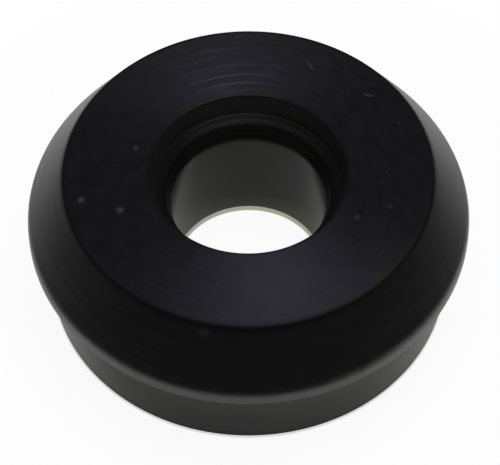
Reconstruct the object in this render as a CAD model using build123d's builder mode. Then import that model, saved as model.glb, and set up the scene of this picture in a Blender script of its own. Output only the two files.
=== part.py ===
"""A black ring gasket, turned in one piece.

A cone rises from a narrow rim to a flat face. A plain cylinder set in below the rim is the seat.
A stepped recess in the face leads down into a straight through bore.
Origin at the centre of the underside, +Z up along the bore, millimetres.
"""
import os

from build123d import *

# Outside of the ring
rim_diameter = 30.0
height = 11.2

# Cone from the flat face down to the rim
cone_run = 2.65
cone_drop = 4.1

# Rim: a narrow upright land that overhangs the seat
land_height = 1.05
rim_overhang = 1.25

# Through bore, a clearance hole for a 10 mm screw or tube
bore_diameter = 10.5

# Steps above the bore, each as its width across and its drop
lead_in_run = 0.35
lead_in_drop = 1.15
ledge_run = 0.65
ledge_drop = 0.55
recess_wall_run = 0.35
recess_wall_drop = 1.5

# Rounded and bevelled edges of the outside
face_edge_radius = 0.35
rim_edge_radius = 1.2
land_edge_radius = 0.2
seat_edge_chamfer = 0.15

# Rounded and bevelled edges of the inside
recess_edge_radius = 0.12
throat_edge_radius = 0.4
bore_top_radius = 0.5
bore_exit_chamfer = 0.3

# Distances from the bore's axis
rim_r = rim_diameter / 2
seat_r = rim_r - rim_overhang
face_r = rim_r - cone_run
bore_r = bore_diameter / 2
throat_r = bore_r + lead_in_run
ledge_r = throat_r + ledge_run
recess_r = ledge_r + recess_wall_run

# Heights above the underside
cone_foot_z = height - cone_drop
shoulder_z = cone_foot_z - land_height
ledge_z = height - recess_wall_drop
throat_z = ledge_z - ledge_drop
bore_top_z = throat_z - lead_in_drop

# Half section: distance from the axis and height, up the outside and then down the inside
outline = [
    (bore_r, 0),
    (seat_r, 0),
    (seat_r, shoulder_z),
    (rim_r, shoulder_z),
    (rim_r, cone_foot_z),
    (face_r, height),
    (recess_r, height),
    (ledge_r, ledge_z),
    (throat_r, throat_z),
    (bore_r, bore_top_z),
]


def corner_at(r, z):
    """The half section's corner at this distance from the axis and this height."""
    return section.vertices().sort_by_distance((r, z))[0]


with BuildPart() as gasket:
    with BuildSketch(Plane.XZ) as section:
        with BuildLine():
            Polyline(outline, close=True)
        make_face()

        # Outside, from the face down to the seat
        fillet(corner_at(face_r, height), face_edge_radius)
        fillet(corner_at(rim_r, cone_foot_z), rim_edge_radius)
        fillet(corner_at(rim_r, shoulder_z), land_edge_radius)
        chamfer(corner_at(seat_r, 0), seat_edge_chamfer)

        # Inside, from the face down to the bore's exit
        fillet(corner_at(recess_r, height), recess_edge_radius)
        fillet(corner_at(throat_r, throat_z), throat_edge_radius)
        fillet(corner_at(bore_r, bore_top_z), bore_top_radius)
        chamfer(corner_at(bore_r, 0), bore_exit_chamfer)
    revolve(axis=Axis.Z)

gasket.part.label = "gasket"

os.makedirs("parts", exist_ok=True)
export_step(gasket.part, "parts/gasket.step")
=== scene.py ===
"""A black turned ring gasket on a plain white table, under soft light from above."""
from math import atan2, ceil, cos, hypot, pi, radians, sin
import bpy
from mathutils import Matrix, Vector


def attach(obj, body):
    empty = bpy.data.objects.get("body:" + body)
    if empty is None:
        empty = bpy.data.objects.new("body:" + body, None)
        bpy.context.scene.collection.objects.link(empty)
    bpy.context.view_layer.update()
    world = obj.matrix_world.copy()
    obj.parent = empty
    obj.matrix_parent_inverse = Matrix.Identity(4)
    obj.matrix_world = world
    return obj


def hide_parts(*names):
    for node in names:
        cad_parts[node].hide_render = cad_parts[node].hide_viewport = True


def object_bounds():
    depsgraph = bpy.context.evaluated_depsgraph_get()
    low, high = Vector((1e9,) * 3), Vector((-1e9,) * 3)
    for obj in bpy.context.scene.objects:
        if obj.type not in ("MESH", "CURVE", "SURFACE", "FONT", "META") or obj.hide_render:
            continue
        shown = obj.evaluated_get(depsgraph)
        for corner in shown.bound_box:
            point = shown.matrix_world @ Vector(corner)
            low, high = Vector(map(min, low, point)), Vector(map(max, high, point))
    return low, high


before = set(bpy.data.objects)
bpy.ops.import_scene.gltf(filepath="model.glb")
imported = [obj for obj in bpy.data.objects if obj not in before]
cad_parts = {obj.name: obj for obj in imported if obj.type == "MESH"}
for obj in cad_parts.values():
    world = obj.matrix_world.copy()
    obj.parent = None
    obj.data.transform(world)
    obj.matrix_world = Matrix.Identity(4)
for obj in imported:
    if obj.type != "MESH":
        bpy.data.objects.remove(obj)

from types import SimpleNamespace

import bpy
from mathutils import Euler, Vector, noise

MM = 0.001
NODE = "gasket"
CAD_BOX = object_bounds()
TOP = CAD_BOX[1].z
RIM_R = CAD_BOX[1].x

# Lathe mesh: facets round the axis, and lengths of the outline's steps, which are long at the underside
SEGMENTS = 360
FINE_STEP = 0.105 * MM
WALL_STEP = 0.20 * MM
HIDDEN_STEP = 0.6 * MM
HIDDEN_BELOW = 0.5 * MM
UPRIGHT_SLOPE = 0.05
SHARP_TURN = radians(24)

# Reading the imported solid's outline: points nearer than this are one, and a height inside the wall
SAME_POINT = 0.004 * MM
SIGHT_HEIGHT = 0.62 * TOP

# Tool marks cut into the mesh
MARK_PITCH = 0.40 * MM
SLOW_MARK_PITCH = 5 * MARK_PITCH
MARK_DEPTH = 0.0009 * MM
MARK_FADE = 0.25 * MM
FEWEST_MARKED_STEPS = 3

# Rounded edges of the face and the lip of the recess, as distances from the axis, where painted shade and
# painted light go
FACE_OUTER_R = 12.36 * MM
FACE_OUTER_FADE = (0.10 * MM, 0.40 * MM)
FACE_INNER_R = 6.68 * MM
FACE_INNER_HALF_WIDTH = 0.22 * MM
FACE_INNER_STRENGTH = 0.85
LIP_R = 6.54 * MM
LIP_HALF_WIDTH = 0.12 * MM

# Where the masks of the ring's parts go from 0 to 1, as distances from the axis
INSIDE_RECESS = (6.75 * MM, 6.6 * MM)
OUTSIDE_FACE = (12.30 * MM, 12.40 * MM)
NEAR_OUTER_EDGE = (9.0 * MM, 12.0 * MM)
OUTER_HALF_OF_FACE = (8 * MM, 11 * MM)
RIM_EDGE = (14.92 * MM, 15.0 * MM)
# Wider band at the rim's edge that carries a painted highlight at the right
HIGHLIT_RIM_EDGE = (14.76 * MM, 14.93 * MM)

# The same with height above the table
ON_FACE = (TOP - 0.03 * MM, TOP - 0.01 * MM)
NEAR_TOP = (TOP - 0.7 * MM, TOP - 0.5 * MM)
BELOW_LIP = (11.1 * MM, 10.8 * MM)
ABOVE_LEDGE = (9.6 * MM, 9.8 * MM)
ABOVE_BORE = (7.4 * MM, 8.2 * MM)
ABOVE_RIM = (6.8 * MM, 7.2 * MM)

# The same from the front of the ring to its back
# Far half of the face, which gets a painted tint in its sheen
FACE_FAR_HALF = (-2.0 * MM, 4.0 * MM)

# The same with the share of the way from the ring's middle line to its right, or to either side
# The rim's right side, where the painted highlight widens the worn band, and the sides of the face's
# outer edge and of the cone, where painted sheen is stronger
RIGHT_OF_RIM = (0.15, 0.80)
SIDES_OF_EDGE = (0.4, 0.9)
SIDES_OF_CONE = (0.2, 0.8)

# Sectors, as angles from the back to the right: the middle, and where they go from 0 to 1 around it
# Sectors of painted sheen: the back of the face, the far side of the recess's steps, and the face's right
# front
BACK_OF_FACE = (-0.13, 0.50, 0.08)
FAR_SIDE_OF_STEPS = (0.15, 1.30, 0.55)
RIGHT_FRONT = (2.20, 0.50, 0.15)

# The deeper turning grooves, only at the back of the face, where they also carry a painted glint: radius
# in mm and strength
GROOVES = [(7.70, 0.9), (8.45, 0.9), (9.35, 0.55)]
GROOVE_HALF_WIDTH = 0.16 * MM

# Dust grains and smudges: place in mm, radius in mm and strength
DUST = [
    (-11.04, -2.27, 11.2, 0.37, 0.85),
    (-8.44, -3.10, 11.2, 0.37, 0.85),
    (-7.53, 2.06, 11.2, 0.29, 0.55),
    (7.14, -3.73, 11.2, 0.31, 0.38),
    (9.33, -2.85, 11.2, 0.30, 0.28),
    (9.24, 0.05, 11.2, 0.14, 0.25),
    (8.87, -0.86, 11.2, 0.13, 0.25),
    (7.87, -3.25, 11.2, 0.11, 0.3),
    (6.90, -0.19, 11.2, 0.16, 0.2),
    (6.81, 6.66, 11.2, 0.13, 0.4),
    (10.19, 4.12, 11.2, 0.15, 0.4),
    (-0.77, 11.79, 11.2, 0.14, 0.6),
    (5.74, 7.46, 11.2, 0.12, 0.3),
    (-1.87, 10.67, 11.2, 0.15, 0.3),
    (-2.84, -12.42, 10.60, 0.55, 0.26),
    (3.35, -12.75, 9.91, 0.20, 0.12),
    (-6.37, -13.13, 7.73, 0.25, 0.20),
]
SPECK_IN_BORE = [(3.76, 3.66, 1.84, 0.13, 1.0)]

# Scratches on the face: both ends in mm and half width in mm
SCRATCHES = [
    ((4.10, 9.58), (4.50, 8.77), 0.035),
    ((7.88, 6.65), (8.55, 6.45), 0.065),
]

# Noises: scale, detail and the two levels that become 0 and 1
MOTTLE = (900.0, 5.0, 0.35, 0.68)
RUBBED_PATCHES = (700.0, 3.0, 0.2, 0.6)
GROOVE_BREAKS = (260.0, 2.0, 0.30, 0.55)
FACE_STREAKS = (2.6, 3.0, 0.45, 0.78)
CONE_STREAKS = (2.1, 1.0, 0.30, 0.70)
SHEET_MOTTLE = (30.0, 3.0, 0.3, 0.7)

# Plain noise, its scale and detail, and the levels between which most of a noise lies
GRAIN = (9000.0, 2.0)
NOISE_LEVELS = (0.3, 0.7)

# Tool marks in the finish: lines per mm and detail
FINE_LINES = (3.2, 1.0)
BROAD_LINES = (1.6, 2.0)
STEP_LINES = (3.4, 2.0)
STEP_LINE_LEVELS = (0.35, 0.65)

# Colours of the rubber and of what lies on it, with painted shade and painted light on some of its parts,
# and how much some of them cover
RUBBER_DEEP = (0.0055, 0.0057, 0.0058, 1)
RUBBER_PALE = (0.0078, 0.0078, 0.0081, 1)
# Painted light on the recess wall, paler than the rubber, and painted shade on the recess's ledge and
# lead-in
RECESS_WALL_PAINTED_LIGHT = (0.016, 0.016, 0.016, 1)
STEPS_PAINTED_SHADE = (0.0055, 0.0055, 0.0055, 1)
# Painted shade on the cone
CONE_PAINTED_SHADE = (0.0040, 0.0040, 0.0040, 1)
# Painted shade on the face's rounded edges
EDGE_PAINTED_SHADE = (0.0040, 0.0040, 0.0042, 1)
# Painted light on the lip of the recess
LIP_PAINTED_LIGHT = (0.020, 0.020, 0.020, 1)
# Pale wear on the rim's edge all round, and a painted highlight where it widens at the right
RUBBED_AND_HIGHLIGHT_GREY = (0.072, 0.072, 0.068, 1)
# Pale grooves at the back of the face, partly a painted glint
GROOVE_AND_GLINT_GREY = (0.014, 0.014, 0.016, 1)
SCRATCH_GREY = (0.030, 0.034, 0.035, 1)
DUST_GREY = (0.048, 0.048, 0.051, 1)
SPECK_WHITE = (0.60, 0.60, 0.57, 1)
# Share of the cone's painted shade
CONE_SHADE_COVER = 0.5
GROOVE_COVER = 0.4
SCRATCH_COVER = 0.65
RIM_COVER = 0.45

# Tints of the sheen, which paint highlight and shade by zone and direction, and how strong its streaks
# are
FACE_TINT = (0.25, 0.225, 0.340, 1)
# Painted shade near the face's outer edge, a painted tint at its far side, and a painted highlight at its
# right front
OUTER_FACE_SHADE_TINT = (0.218, 0.196, 0.298, 1)
FAR_FACE_TINT = (0.230, 0.221, 0.274, 1)
RIGHT_FRONT_HIGHLIGHT_TINT = (0.285, 0.265, 0.365, 1)
# Painted highlight on the face's streaks and back grooves, and the plain tint elsewhere
STREAK_HIGHLIGHT_TINT = (0.58, 0.54, 0.72, 1)
PLAIN_TINT = (1.0, 1.0, 0.97, 1)
# Painted shade that dims the sheen on the cone, the recess's steps and the face's edges, with lighter
# painted streaks and highlights
CONE_TINTS = ((0.46, 0.46, 0.46, 1), (0.72, 0.72, 0.71, 1))
STEPS_TINTS = ((0.18, 0.18, 0.18, 1), (0.62, 0.62, 0.62, 1))
EDGE_SHADE_TINTS = ((0.12, 0.12, 0.13, 1), (0.27, 0.27, 0.28, 1))
# How strong the painted streaks of light are, all over the face and at its back
FACE_STREAK_LEVEL = 0.08
BACK_STREAK_LEVEL = 0.45
CONE_STREAK_LEVELS = (0.35, 1.0)
STEP_MARK_LEVELS = (0.3, 1.0)

# Finish of the rubber
ROUGHNESS = (0.315, 0.34)
GRAIN_ROUGHNESS = 0.01
EDGE_ROUGHNESS = 0.12
CONE_POLISH = 0.015
DUST_ROUGHNESS = 0.1
CIRCULAR_SHEEN = 0.667
QUARTER_TURN = 0.25
IOR = 1.5

# Relief of the rubber: its depth, and the share of each kind of mark in it
RELIEF_DEPTH = 0.003 * MM
RELIEF_STRENGTH = 0.5
FINE_RELIEF = 0.3
BROAD_RELIEF = 0.8
GRAIN_RELIEF = 0.15
GROOVE_RELIEF = 0.5
CONE_RELIEF_LOSS = 0.6

# Table and the white sheet on it, which fades out with the distance from the sheet's middle
TABLE_R = 3.0
TABLE_SIDES = 64
SHEET_MIDDLE = (-2.2 * MM, 0, 0)
SHEET_FADE = (25 * MM, 47 * MM)
SHEET_WHITES = ((0.87, 0.87, 0.85, 1), (0.90, 0.90, 0.88, 1))
# Painted shade on the table inside the bore
BORE_FLOOR_PAINTED_SHADE = (0.50, 0.50, 0.48, 1)
BORE_SHADE_FADE = (5.0 * MM, 4.2 * MM)
WARM_SHADOW = (0.60, 0.54, 0.38, 1)
BENCH_BLACK = (0.05, 0.05, 0.05, 1)
WHITE = (1, 1, 1, 1)

# Where the ring stands on the table, and the thin painted warm shadow round the bore's exit
SEAT_R = 13.75 * MM
CONTACT_HALF_WIDTH = 0.12 * MM
EXIT_SHADOW_STARTS = (5.06 * MM, 5.16 * MM)
EXIT_SHADOW_ENDS = (6.0 * MM, 5.7 * MM)
EXIT_SHADOW_TINT = (0.37, 0.375, 0.28, 1)

# The shadow that the camera sees: how white the table is near the ring and further out
SHADOW_FADE = (16 * MM, 34 * MM)
SHADOW_WHITENESS = (0.94, 1.0)
CONTACT_WHITENESS = 0.65

# The white that the ring mirrors, painted as reflected light: close to it, and its strength outside,
# under the rim and in the bore
# Painted warm tint in the white that the ring mirrors close by
NEAR_RING = (17 * MM, 15 * MM)
NEAR_RING_TINT = (0.99, 1.0, 0.87, 1)
OUTSIDE_FADE = (16.4 * MM, 19 * MM)
OUTSIDE_STRENGTH = (0.09, 0.90)
UNDER_RIM_R = 14.4 * MM
UNDER_RIM_HALF_WIDTH = 1.8 * MM
UNDER_RIM_FRONT_TO_SIDE = (-14 * MM, -5 * MM)
UNDER_RIM_STRENGTH = (0.36, 0.88)
UNDER_BORE_R = 5.3 * MM
UNDER_BORE_HALF_WIDTH = 2.0 * MM
UNDER_BORE_STRENGTH = 0.68

# Light
SOFT_BOX_PLACE = (0.055, 0.07, 0.62)
SOFT_BOX_SIZE = 0.31
SOFT_BOX_POWER = 2.95
ROOM_COLOUR = (0.07, 0.07, 0.073, 1)
ROOM_MIRRORED = 0.02

# Camera
AIM = Vector((0.11, -4.96, 11.2)) * MM
CAMERA_DISTANCE = 156.6 * MM
CAMERA_ELEVATION = radians(54.15)
CAMERA_TURN = radians(0.2)
CAMERA_ROLL = radians(-0.36)
LENS = 172.53
SENSOR = 36.0
NEAREST_SEEN = 0.01
FURTHEST_SEEN = 10


def half_section(mesh):
    """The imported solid's outline as (distance from the axis, height), in order round the wall."""
    points = {(round(hypot(v.co.x, v.co.y), 7), round(v.co.z, 7)) for v in mesh.vertices}
    merged = []
    for point in sorted(points):
        if all(hypot(point[0] - r, point[1] - z) > SAME_POINT for r, z in merged):
            merged.append(point)

    # Seen from one point inside the wall, the outline's points come in order
    sight_r = (min(r for r, _ in merged) + RIM_R) / 2
    merged.sort(key=lambda p: atan2(p[1] - SIGHT_HEIGHT, p[0] - sight_r))
    foot = min(range(len(merged)), key=lambda i: (merged[i][1], merged[i][0]))
    return merged[foot:] + merged[:foot]


def turn_at(points, i):
    """How far the outline turns at a point."""
    before = Vector(points[i]) - Vector(points[i - 1])
    after = Vector(points[(i + 1) % len(points)]) - Vector(points[i])
    return before.angle(after)


def step_for(a, b):
    """Length of the mesh's steps on one stretch of the outline."""
    if max(a.y, b.y) < HIDDEN_BELOW:
        return HIDDEN_STEP
    upright = abs(b.x - a.x) < UPRIGHT_SLOPE * abs(b.y - a.y)
    return WALL_STEP if upright else FINE_STEP


def mark_depth(run, to_corner):
    """Depth of the tool marks at a distance along the outline, fading out near its corners."""
    # The second number only picks a row of the noise
    here = noise.noise(Vector((run / MARK_PITCH, 3.1, 0.0)))
    slow = noise.noise(Vector((run / SLOW_MARK_PITCH, 8.7, 0.0)))
    fade = min(1.0, to_corner / MARK_FADE)
    return MARK_DEPTH * fade * (0.5 + 0.5 * here + 0.25 * slow)


def fine_section(points):
    """The outline cut into short steps with its tool marks: (distance, height, run, is sharp)."""
    fine = []
    run = 0.0
    for i, start in enumerate(points):
        a, b = Vector(start), Vector(points[(i + 1) % len(points)])
        length = (b - a).length
        step = step_for(a, b)
        steps = ceil(length / step)
        inward = Vector((-(b - a).y, (b - a).x)).normalized()
        marked = steps > FEWEST_MARKED_STEPS and step < HIDDEN_STEP
        for k in range(steps):
            along = length * k / steps
            depth = mark_depth(run + along, min(along, length - along)) if marked else 0.0
            place = a.lerp(b, k / steps) + inward * depth
            fine.append((place.x, place.y, run + along, k == 0 and turn_at(points, i) > SHARP_TURN))
        run += length
    return fine


def turned_ring(name, section):
    """Revolves the outline into a closed mesh that keeps each point's run along it."""
    count = len(section)
    vertices = []
    for s in range(SEGMENTS):
        angle = 2 * pi * s / SEGMENTS
        vertices += [(r * cos(angle), r * sin(angle), z) for r, z, _, _ in section]
    faces = []
    for s in range(SEGMENTS):
        here, there = s * count, (s + 1) % SEGMENTS * count
        for i in range(count):
            j = (i + 1) % count
            faces.append((here + i, there + i, there + j, here + j))
    mesh = bpy.data.meshes.new(name)
    mesh.from_pydata(vertices, [], faces)
    mesh.shade_smooth()
    runs = mesh.attributes.new("run_mm", "FLOAT", "POINT")
    runs.data.foreach_set("value", [run / MM for _ in range(SEGMENTS) for _, _, run, _ in section])
    sharp = {i for i, point in enumerate(section) if point[3]}
    for edge in mesh.edges:
        i, j = (v % count for v in edge.vertices)
        edge.use_edge_sharp = i == j and i in sharp
    mesh.validate()
    ring = bpy.data.objects.new(name, mesh)
    bpy.context.scene.collection.objects.link(ring)
    return ring


class Tree:
    """A short way to write the nodes of a material or of the world."""

    def __init__(self, owner):
        owner.use_nodes = True
        self.nodes = owner.node_tree.nodes
        self.links = owner.node_tree.links
        self.nodes.clear()

    def add(self, kind, inputs=None, **settings):
        node = self.nodes.new("ShaderNode" + kind)
        for key, value in settings.items():
            setattr(node, key, value)
        for key, value in (inputs or {}).items():
            if isinstance(value, bpy.types.NodeSocket):
                self.links.new(value, node.inputs[key])
            else:
                node.inputs[key].default_value = value
        return node

    def math(self, operation, *values):
        return self.add("Math", dict(enumerate(values)), operation=operation).outputs[0]

    def plus(self, a, b):
        return self.math("ADD", a, b)

    def minus(self, a, b):
        return self.math("SUBTRACT", a, b)

    def times(self, first, *others):
        for other in others:
            first = self.math("MULTIPLY", first, other)
        return first

    def most(self, first, *others):
        for other in others:
            first = self.math("MAXIMUM", first, other)
        return first

    def away(self, value, middle):
        """How far a value is from the middle, on either side."""
        return self.math("ABSOLUTE", self.minus(value, middle))

    def distance(self, a, b):
        return self.add("VectorMath", {0: a, 1: b}, operation="DISTANCE").outputs["Value"]

    def ramp(self, value, low, high, to_low=0.0, to_high=1.0):
        """A smooth step between two levels of a value."""
        inputs = {"Value": value, "From Min": low, "From Max": high, "To Min": to_low, "To Max": to_high}
        return self.add("MapRange", inputs, interpolation_type="SMOOTHSTEP").outputs[0]

    def band(self, value, middle, half_width):
        """1 at the middle, falling to 0 at the half width on both sides."""
        return self.ramp(self.away(value, middle), 0.0, half_width, 1.0, 0.0)

    def sector(self, angle, middle, outer, inner):
        """1 near the middle of a sector, falling to 0 towards its two ends."""
        return self.ramp(self.away(angle, middle), outer, inner)

    def plain_noise(self, place, scale, detail):
        return self.add("TexNoise", {"Vector": place, "Scale": scale, "Detail": detail}).outputs[0]

    def noise(self, place, scale, detail, low, high):
        """Smooth noise, spread from 0 to 1 between two of its levels."""
        return self.ramp(self.plain_noise(place, scale, detail), low, high)

    def lines(self, run, per_mm, detail):
        """Noise that changes only along the outline, so that it runs round the axis as tool marks do."""
        inputs = {"W": self.times(run, per_mm), "Scale": 1.0, "Detail": detail}
        return self.add("TexNoise", inputs, noise_dimensions="1D").outputs[0]

    def blend(self, factor, a, b):
        return self.add("Mix", {0: factor, 6: a, 7: b}, data_type="RGBA").outputs[2]

    def layers(self, colour, masks_and_colours):
        """Lays each colour over those before it, where its mask is 1."""
        for mask, over in masks_and_colours:
            colour = self.blend(mask, colour, over)
        return colour


def point_on_ring(t):
    """Where a point of the surface is, in terms of the turned ring."""
    place = t.add("NewGeometry").outputs["Position"]
    split = t.add("SeparateXYZ", {0: place}).outputs
    x, y = split["X"], split["Y"]
    radius = t.math("SQRT", t.plus(t.times(x, x), t.times(y, y)))
    run = t.add("Attribute", attribute_name="run_mm").outputs["Fac"]
    right = t.math("DIVIDE", x, radius)
    back = t.math("DIVIDE", y, radius)
    return SimpleNamespace(
        place=place,
        y=y,
        z=split["Z"],
        radius=radius,
        run=run,
        right=right,
        to_side=t.math("ABSOLUTE", right),
        from_back=t.math("ARCTAN2", x, y),
        sweep=t.add("CombineXYZ", {0: run, 1: right, 2: back}).outputs[0],
    )


def ring_zones(t, at):
    """Masks of the face, its rounded edges, the cone and the stepped recess."""
    near_top = t.ramp(at.z, *NEAR_TOP)
    outer_edge = t.ramp(t.away(at.radius, FACE_OUTER_R), *FACE_OUTER_FADE, 1.0, 0.0)
    inner_edge = t.times(t.band(at.radius, FACE_INNER_R, FACE_INNER_HALF_WIDTH), FACE_INNER_STRENGTH)
    inside = t.ramp(at.radius, *INSIDE_RECESS)
    recess_wall = t.times(inside, t.ramp(at.z, *ABOVE_LEDGE), t.ramp(at.z, *BELOW_LIP))
    return SimpleNamespace(
        face=t.ramp(at.z, *ON_FACE),
        edge=t.times(near_top, t.most(outer_edge, inner_edge)),
        # The lip's band only carries painted light
        lip=t.times(near_top, t.band(at.radius, LIP_R, LIP_HALF_WIDTH)),
        recess_wall=recess_wall,
        steps=t.minus(t.times(inside, t.ramp(at.z, *ABOVE_BORE)), recess_wall),
        cone=t.times(t.ramp(at.radius, *OUTSIDE_FACE), t.ramp(at.z, *ABOVE_RIM)),
    )


def back_grooves_and_glints(t, at, at_back):
    """The deeper grooves, sunk in the relief with a painted glint in their colour and sheen, only at the
    back of the face and broken up along their length.
    """
    rings = []
    for radius, strength in GROOVES:
        rings.append(t.times(t.band(at.radius, radius * MM, GROOVE_HALF_WIDTH), strength))
    return t.times(t.most(*rings), at_back, t.noise(at.place, *GROOVE_BREAKS))


def worn_and_highlit_rim(t, at):
    """Where the rim's edge is paler: worn thinly all round, with a wider painted highlight at the right.
    """
    all_round = t.times(t.ramp(at.radius, *RIM_EDGE), RIM_COVER)
    highlit_right = t.times(t.ramp(at.radius, *HIGHLIT_RIM_EDGE), t.ramp(at.right, *RIGHT_OF_RIM))
    return t.times(t.most(all_round, highlit_right), t.noise(at.place, *RUBBED_PATCHES))


def dust_spots(t, place, grains):
    """Where the dust grains lie."""
    spots = []
    for x, y, z, size, strength in grains:
        away = t.distance(place, (x * MM, y * MM, z * MM))
        spots.append(t.ramp(away, 0.0, size * MM, strength, 0.0))
    return t.most(*spots)


def scratch_lines(t, place):
    """Where the scratches run: near the line from one end to the other."""
    lines = []
    for (x0, y0), (x1, y1), half_width in SCRATCHES:
        length = hypot(x1 - x0, y1 - y0)
        from_ends = 0.0
        for x, y in ((x0, y0), (x1, y1)):
            from_ends = t.plus(from_ends, t.distance(place, (x * MM, y * MM, TOP)))
        lines.append(t.ramp(from_ends, length * MM, (length + half_width) * MM, 1.0, 0.0))
    return t.most(*lines)


def surface_marks(t, at):
    """Tool marks and grooves that run round the axis, the rubber's own grain, dust and wear, and where
    the painted highlights on the rim and the grooves go.
    """
    at_back = t.sector(at.from_back, *BACK_OF_FACE)
    return SimpleNamespace(
        at_back=at_back,
        fine=t.lines(at.run, *FINE_LINES),
        broad=t.lines(at.run, *BROAD_LINES),
        mottle=t.noise(at.place, *MOTTLE),
        grain=t.plain_noise(at.place, *GRAIN),
        grooves=back_grooves_and_glints(t, at, at_back),
        worn_and_highlit=worn_and_highlit_rim(t, at),
        dust=dust_spots(t, at.place, DUST),
        speck=dust_spots(t, at.place, SPECK_IN_BORE),
        scratches=scratch_lines(t, at.place),
    )


def rubber_colour(t, zones, marks):
    """Near-black, with painted shade on the recess's steps, the cone and the face's edges, painted light
    on the recess wall and its lip, a pale worn rim with a painted highlight at its right, pale back
    grooves with a painted glint, and paler where it is scratched or dusty.
    """
    mottled = t.blend(marks.mottle, RUBBER_DEEP, RUBBER_PALE)
    return t.layers(mottled, [
        # Painted light and shade by zone first, then the worn rim, the grooves, scratches and dust laid
        # over it
        (zones.recess_wall, RECESS_WALL_PAINTED_LIGHT),
        (zones.steps, STEPS_PAINTED_SHADE),
        (t.times(zones.cone, CONE_SHADE_COVER), CONE_PAINTED_SHADE),
        (zones.edge, EDGE_PAINTED_SHADE),
        (zones.lip, LIP_PAINTED_LIGHT),
        (marks.worn_and_highlit, RUBBED_AND_HIGHLIGHT_GREY),
        (t.times(marks.grooves, GROOVE_COVER), GROOVE_AND_GLINT_GREY),
        (t.times(marks.scratches, SCRATCH_COVER), SCRATCH_GREY),
        (marks.dust, DUST_GREY),
        (marks.speck, SPECK_WHITE),
    ])


def rubber_roughness(t, zones, marks):
    """Satin, smoother on the cone, rougher on the face's edges and under dust and scratches."""
    roughness = t.ramp(marks.fine, *NOISE_LEVELS, *ROUGHNESS)
    roughness = t.plus(roughness, t.ramp(marks.grain, *NOISE_LEVELS, -GRAIN_ROUGHNESS, GRAIN_ROUGHNESS))
    roughness = t.plus(roughness, t.times(zones.edge, EDGE_ROUGHNESS))
    roughness = t.minus(roughness, t.times(zones.cone, CONE_POLISH))
    return t.plus(roughness, t.times(t.most(marks.dust, marks.scratches), DUST_ROUGHNESS))


def rubber_relief(t, zones, marks):
    """Bump from tool marks and grain, with the grooves sunk in it, and weaker on the cone."""
    height = t.plus(t.times(marks.fine, FINE_RELIEF), t.times(marks.grain, GRAIN_RELIEF))
    height = t.plus(height, t.times(marks.broad, BROAD_RELIEF))
    height = t.minus(height, t.times(marks.grooves, GROOVE_RELIEF))
    height = t.times(height, t.minus(1.0, t.times(zones.cone, CONE_RELIEF_LOSS)))
    inputs = {"Strength": RELIEF_STRENGTH, "Distance": RELIEF_DEPTH, "Height": height}
    return t.add("Bump", inputs).outputs[0]


def face_sheen(t, at, marks):
    """Purple and dim, with painted shade near the outer edge, a painted tint at its far side, a painted
    highlight at the right front, and painted streaks of light and glints on the grooves, strongest at the
    back.
    """
    outer = t.ramp(at.radius, *NEAR_OUTER_EDGE)
    far_outer = t.times(t.ramp(at.y, *FACE_FAR_HALF), outer)
    right_front = t.times(t.sector(at.from_back, *RIGHT_FRONT), outer)
    streaks = t.noise(at.sweep, *FACE_STREAKS)
    streak_level = t.plus(FACE_STREAK_LEVEL, t.times(marks.at_back, BACK_STREAK_LEVEL))
    bright = t.most(marks.grooves, t.times(streaks, streak_level))
    return t.layers(FACE_TINT, [
        (outer, OUTER_FACE_SHADE_TINT),
        (far_outer, FAR_FACE_TINT),
        (right_front, RIGHT_FRONT_HIGHLIGHT_TINT),
        (bright, STREAK_HIGHLIGHT_TINT),
    ])


def cone_sheen(t, at):
    """Painted shade that dims the cone's sheen, with streaks that run round it, painted stronger towards
    its sides.
    """
    level = t.ramp(at.to_side, *SIDES_OF_CONE, *CONE_STREAK_LEVELS)
    return t.blend(t.times(t.noise(at.sweep, *CONE_STREAKS), level), *CONE_TINTS)


def steps_sheen(t, at):
    """Painted highlight along the tool marks on the far side of the recess's ledge and lead-in, and
    painted shade that dims their sheen elsewhere.
    """
    far_side = t.sector(at.from_back, *FAR_SIDE_OF_STEPS)
    marks = t.ramp(t.lines(at.run, *STEP_LINES), *STEP_LINE_LEVELS, *STEP_MARK_LEVELS)
    return t.blend(t.times(far_side, marks), *STEPS_TINTS)


def edge_sheen(t, at):
    """Painted shade that keeps the face's edges from shining, lifted a little on the outer one at the
    sides.
    """
    at_sides = t.times(t.ramp(at.to_side, *SIDES_OF_EDGE), t.ramp(at.radius, *OUTER_HALF_OF_FACE))
    return t.blend(at_sides, *EDGE_SHADE_TINTS)


def black_rubber():
    """Near-black turned rubber with a sheen that is drawn out round the axis."""
    material = bpy.data.materials.new("black_rubber_turned")
    t = Tree(material)
    at = point_on_ring(t)
    zones = ring_zones(t, at)
    marks = surface_marks(t, at)
    # The sheen's tint carries painted highlight and painted shade by zone and direction
    sheen = t.layers(PLAIN_TINT, [
        (zones.face, face_sheen(t, at, marks)),
        (zones.cone, cone_sheen(t, at)),
        (zones.steps, steps_sheen(t, at)),
        (zones.edge, edge_sheen(t, at)),
    ])
    shader = t.add("BsdfPrincipled", {
        "Base Color": rubber_colour(t, zones, marks),
        "Roughness": rubber_roughness(t, zones, marks),
        "IOR": IOR,
        "Normal": rubber_relief(t, zones, marks),
        "Anisotropic": CIRCULAR_SHEEN,
        "Anisotropic Rotation": QUARTER_TURN,
        "Tangent": t.add("Tangent", direction_type="RADIAL", axis="Z").outputs[0],
        "Specular Tint": sheen,
    })
    t.add("OutputMaterial", {"Surface": shader.outputs[0]})
    return material


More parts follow.
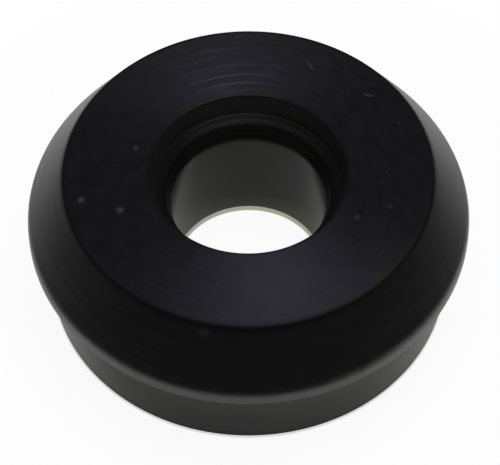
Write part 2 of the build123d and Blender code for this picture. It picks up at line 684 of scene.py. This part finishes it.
def place_on_table(t):
    """Where a point of the table is, with masks of the bench and of the painted shadows at the contact
    line and round the bore's exit.
    """
    place = t.add("NewGeometry").outputs["Position"]
    from_axis = t.add("VectorMath", {0: place}, operation="LENGTH").outputs["Value"]
    return SimpleNamespace(
        place=place,
        from_axis=from_axis,
        off_sheet=t.ramp(t.distance(place, SHEET_MIDDLE), *SHEET_FADE),
        contact=t.band(from_axis, SEAT_R, CONTACT_HALF_WIDTH),
        exit_shadow=t.times(t.ramp(from_axis, *EXIT_SHADOW_STARTS), t.ramp(from_axis, *EXIT_SHADOW_ENDS)),
    )


def matt_table(t, at):
    """The table as the room lights it: a pale sheet on a dark bench, with painted shade inside the bore
    and painted warm shadow at the contact line and round the bore's exit.
    """
    sheet = t.blend(t.noise(at.place, *SHEET_MOTTLE), *SHEET_WHITES)
    colour = t.layers(sheet, [
        (t.ramp(at.from_axis, *BORE_SHADE_FADE), BORE_FLOOR_PAINTED_SHADE),
        (t.most(at.contact, at.exit_shadow), WARM_SHADOW),
        (at.off_sheet, BENCH_BLACK),
    ])
    return t.add("BsdfDiffuse", {"Color": colour}).outputs[0]


def shown_white(t, at, glossy_ray):
    """The white itself, with a painted warm tint where the ring mirrors it close by, and a painted shadow
    at the bore's exit.
    """
    painted_warm_reflection = t.times(glossy_ray, t.ramp(at.from_axis, *NEAR_RING))
    shown = t.layers(WHITE, [(painted_warm_reflection, NEAR_RING_TINT), (at.exit_shadow, EXIT_SHADOW_TINT)])
    return t.add("Emission", {"Color": shown, "Strength": 1.0}).outputs[0]


def seen_share(t, at, camera_ray):
    """How much of the white the camera sees: less in the ring's soft shadow."""
    whiteness = t.ramp(at.from_axis, *SHADOW_FADE, *SHADOW_WHITENESS)
    whiteness = t.times(whiteness, t.ramp(at.contact, 0.0, 1.0, 1.0, CONTACT_WHITENESS))
    return t.times(camera_ray, whiteness)


def mirrored_share(t, at, glossy_ray, transmission_ray):
    """How much of the white the ring mirrors, painted: weak close round the ring as its shadow, brighter
    again in a band under the rim that is dimmer in front, and in a band round the bore, and none off the
    sheet.
    """
    outside = t.ramp(at.from_axis, *OUTSIDE_FADE, *OUTSIDE_STRENGTH)
    y = t.add("SeparateXYZ", {0: at.place}).outputs["Y"]
    # Painted reflected light under the rim, with painted shade in front
    beside = t.ramp(y, *UNDER_RIM_FRONT_TO_SIDE, *UNDER_RIM_STRENGTH)
    under_rim = t.times(t.band(at.from_axis, UNDER_RIM_R, UNDER_RIM_HALF_WIDTH), beside)
    under_bore = t.times(t.band(at.from_axis, UNDER_BORE_R, UNDER_BORE_HALF_WIDTH), UNDER_BORE_STRENGTH)
    strength = t.most(outside, under_rim, under_bore)
    return t.times(t.most(glossy_ray, transmission_ray), strength, t.minus(1.0, at.off_sheet))


def white_table():
    """A white sheet on a dark bench. The camera sees both as white, with the ring's soft shadow."""
    material = bpy.data.materials.new("white_table")
    t = Tree(material)
    at = place_on_table(t)
    path = t.add("LightPath").outputs
    glossy_ray = path["Is Glossy Ray"]
    seen = seen_share(t, at, path["Is Camera Ray"])
    mirrored = mirrored_share(t, at, glossy_ray, path["Is Transmission Ray"])
    shares = {0: t.most(seen, mirrored), 1: matt_table(t, at), 2: shown_white(t, at, glossy_ray)}
    t.add("OutputMaterial", {"Surface": t.add("MixShader", shares).outputs[0]})
    return material


def table():
    """A wide level disc under the ring."""
    angles = [2 * pi * i / TABLE_SIDES for i in range(TABLE_SIDES)]
    rim = [(TABLE_R * cos(angle), TABLE_R * sin(angle), 0) for angle in angles]
    mesh = bpy.data.meshes.new("table")
    mesh.from_pydata(rim, [], [tuple(range(TABLE_SIDES))])
    mesh.materials.append(white_table())
    top = bpy.data.objects.new("table", mesh)
    bpy.context.scene.collection.objects.link(top)


def soft_box():
    """A square soft box above that faces the ring."""
    data = bpy.data.lights.new("soft_box_above", "AREA")
    data.size = SOFT_BOX_SIZE
    data.energy = SOFT_BOX_POWER
    box = bpy.data.objects.new("soft_box_above", data)
    box.location = SOFT_BOX_PLACE
    box.rotation_euler = (-Vector(SOFT_BOX_PLACE)).to_track_quat("-Z", "Y").to_euler()
    bpy.context.scene.collection.objects.link(box)


def room():
    """A dim room that the camera sees as white, and the ring mirrors with a trace of white."""
    world = bpy.data.worlds.new("room")
    t = Tree(world)
    path = t.add("LightPath").outputs
    white_share = t.most(path["Is Camera Ray"], t.times(path["Is Glossy Ray"], ROOM_MIRRORED))
    dim = t.add("Background", {"Color": ROOM_COLOUR}).outputs[0]
    white = t.add("Background", {"Color": WHITE}).outputs[0]
    mix = t.add("MixShader", {0: white_share, 1: dim, 2: white}).outputs[0]
    t.add("OutputWorld", {"Surface": mix})
    bpy.context.scene.world = world


def camera():
    """The camera at the photograph's place."""
    back = Vector((sin(CAMERA_TURN) * cos(CAMERA_ELEVATION),
                   -cos(CAMERA_TURN) * cos(CAMERA_ELEVATION),
                   sin(CAMERA_ELEVATION)))
    data = bpy.data.cameras.new("camera")
    data.lens = LENS
    data.sensor_width = SENSOR
    data.clip_start = NEAREST_SEEN
    data.clip_end = FURTHEST_SEEN
    view = bpy.data.objects.new("camera", data)
    view.location = AIM + back * CAMERA_DISTANCE
    roll = Euler((0, 0, CAMERA_ROLL)).to_quaternion()
    view.rotation_euler = ((-back).to_track_quat("-Z", "Y") @ roll).to_euler()
    bpy.context.scene.collection.objects.link(view)
    bpy.context.scene.camera = view


bpy.context.scene.view_settings.view_transform = "Standard"
camera()
soft_box()
room()
table()

ring = turned_ring("turned_ring", fine_section(half_section(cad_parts[NODE].data)))
ring.data.materials.append(black_rubber())
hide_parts(NODE)
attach(ring, "root")
